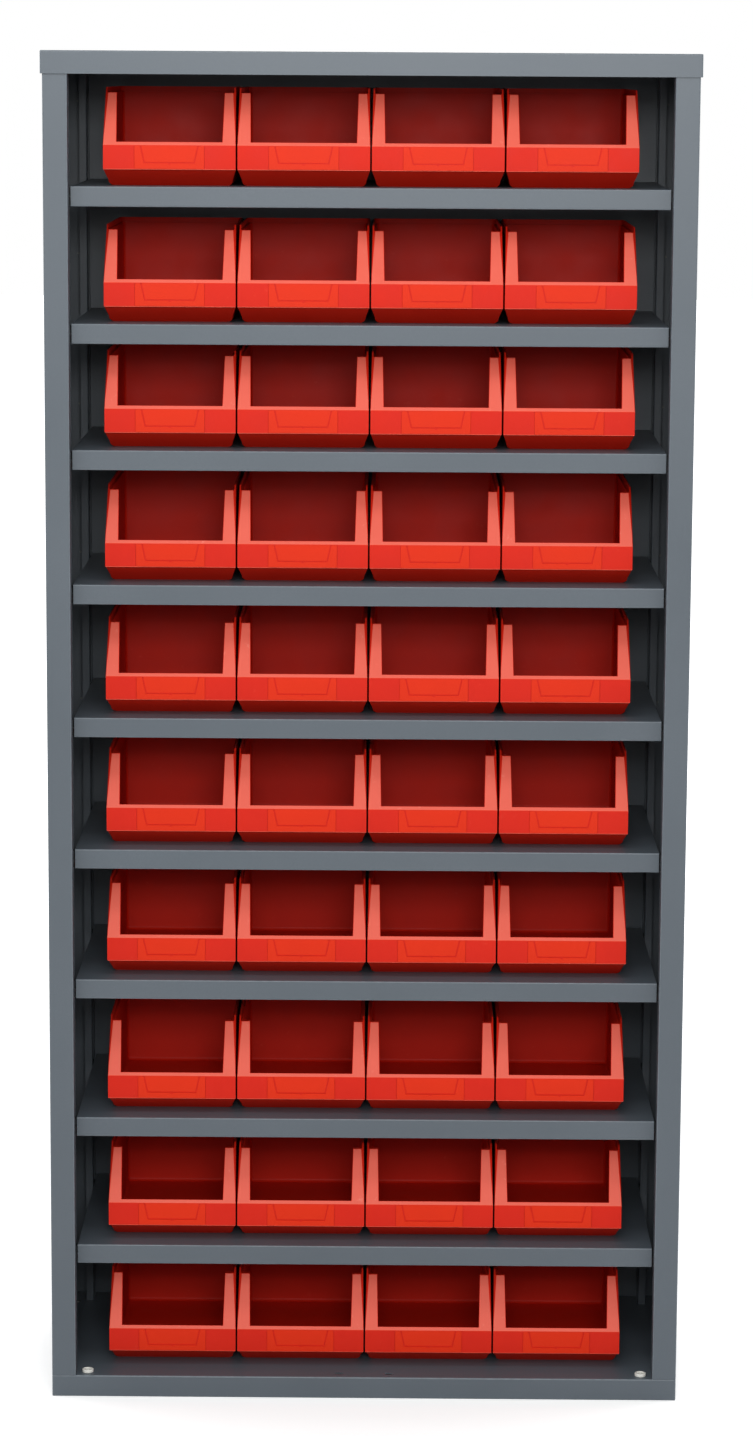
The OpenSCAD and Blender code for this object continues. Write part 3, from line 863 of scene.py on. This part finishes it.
studio = {
    "floorSize": 60,
    "floorColour": "#ececec",
    "floorRoughness": 0.9,
    "floorLift": 0.40,          # seen by the camera alone, near the cabinet
    "liftFrom": 1.4,            # m from the cabinet, where the floor starts to fade
    "liftTo": 5.0,              # and where it is plain white
    "worldLevel": 0.64,
    "glossyLevel": 0.20,
    "lamps": {
        "key": {"size": (2.8, 1.4), "place": (-0.4, -5.2, 4.1), "aim": (0, 0, 1.1), "watts": 55},
        "front": {"size": (1.8, 0.9), "place": (0.3, -6.8, 3.1), "aim": (0, 0, 1.2), "watts": 84},
        "strip": {"size": (3.2, 0.5), "place": (0.2, -6.6, 2.5), "aim": (0, 0, 2.0), "watts": 30},
        "top": {"size": (2.4, 0.4), "place": (-0.3, -1.5, 3.0), "aim": (0, -0.2, 2.1), "watts": 11},
        "rear": {"size": (3.0, 2.0), "place": (1.0, 5.5, 3.2), "aim": (0, 0, 1.0), "watts": 110},
        "leftSide": {"size": (2.0, 2.0), "place": (-5.5, 1.6, 2.6), "aim": (0, 0, 1.0), "watts": 80},
        "rightSide": {"size": (2.0, 2.0), "place": (5.5, 1.6, 2.6), "aim": (0, 0, 1.0), "watts": 80},
    },
}


def addLamp(name, lamp):
    bpy.ops.object.light_add(type="AREA", location=lamp["place"])
    light = bpy.context.object
    light.name = name
    light.data.shape = "RECTANGLE"
    light.data.size, light.data.size_y = lamp["size"]
    light.data.energy = lamp["watts"]
    way = Vector(lamp["aim"]) - Vector(lamp["place"])
    light.rotation_euler = way.to_track_quat("-Z", "Y").to_euler()


def setWorld(values):
    # white to the eye, dimmer as a light, and dimmer still in reflections
    world = bpy.data.worlds.new("studio")
    bpy.context.scene.world = world
    world.use_nodes = True
    tree = world.node_tree
    path = addNode(tree, "ShaderNodeLightPath")
    glossy = addNode(tree, "ShaderNodeMapRange", {"Value": path.outputs["Is Glossy Ray"]},
                     {"To Min": values["worldLevel"], "To Max": values["glossyLevel"]})
    seen = addNode(tree, "ShaderNodeMath", {0: path.outputs["Is Camera Ray"],
                                            1: path.outputs["Is Transmission Ray"]}, operation="MAXIMUM")
    strength = addNode(tree, "ShaderNodeMapRange",
                       {"Value": seen.outputs[0], "To Min": glossy.outputs["Result"]}, {"To Max": 1.0})
    back = tree.nodes["Background"]
    back.inputs["Color"].default_value = (1, 1, 1, 1)
    tree.links.new(strength.outputs["Result"], back.inputs["Strength"])


def layFloor(values):
    bpy.ops.mesh.primitive_plane_add(size=values["floorSize"], location=(0, 0, 0))
    floor = bpy.context.object
    floor.name = "floor"
    material, tree, shader = startMaterial("paleFloor")
    shader.inputs["Base Color"].default_value = srgb(values["floorColour"])
    shader.inputs["Roughness"].default_value = values["floorRoughness"]
    shader.inputs["Emission Color"].default_value = (1, 1, 1, 1)
    place = addNode(tree, "ShaderNodeTexCoord").outputs["Object"]
    reach = addNode(tree, "ShaderNodeVectorMath", {0: place}, operation="LENGTH")
    far = addNode(tree, "ShaderNodeMapRange", {"Value": reach.outputs["Value"]},
                  {"From Min": values["liftFrom"], "From Max": values["liftTo"],
                   "To Min": values["floorLift"]}, interpolation_type="SMOOTHSTEP")
    # no lift under the cabinet, which would shine up through the holes in its base
    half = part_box("base_pan")[1]
    across = addNode(tree, "ShaderNodeVectorMath", {0: place}, operation="ABSOLUTE")
    beyond = addNode(tree, "ShaderNodeVectorMath", {0: across.outputs[0]}, {1: (half.x, half.y, 0)},
                     operation="SUBTRACT")
    sides = addNode(tree, "ShaderNodeSeparateXYZ", {0: beyond.outputs[0]})
    outside = addNode(tree, "ShaderNodeMath", {0: sides.outputs["X"], 1: sides.outputs["Y"]},
                      operation="MAXIMUM")
    clear = addNode(tree, "ShaderNodeMath", {0: outside.outputs[0]}, {1: 0.0}, operation="GREATER_THAN")
    near = addNode(tree, "ShaderNodeMath", {0: far.outputs["Result"], 1: clear.outputs[0]},
                   operation="MULTIPLY")
    path = addNode(tree, "ShaderNodeLightPath")
    lift = addNode(tree, "ShaderNodeMath", {0: path.outputs["Is Camera Ray"], 1: near.outputs[0]},
                   operation="MULTIPLY")
    tree.links.new(lift.outputs[0], shader.inputs["Emission Strength"])
    paint(floor, material)


layFloor(studio)
setWorld(studio)
for name, lamp in studio["lamps"].items():
    addLamp(name, lamp)
bpy.context.scene.view_settings.view_transform = "Standard"
print("studio lit")
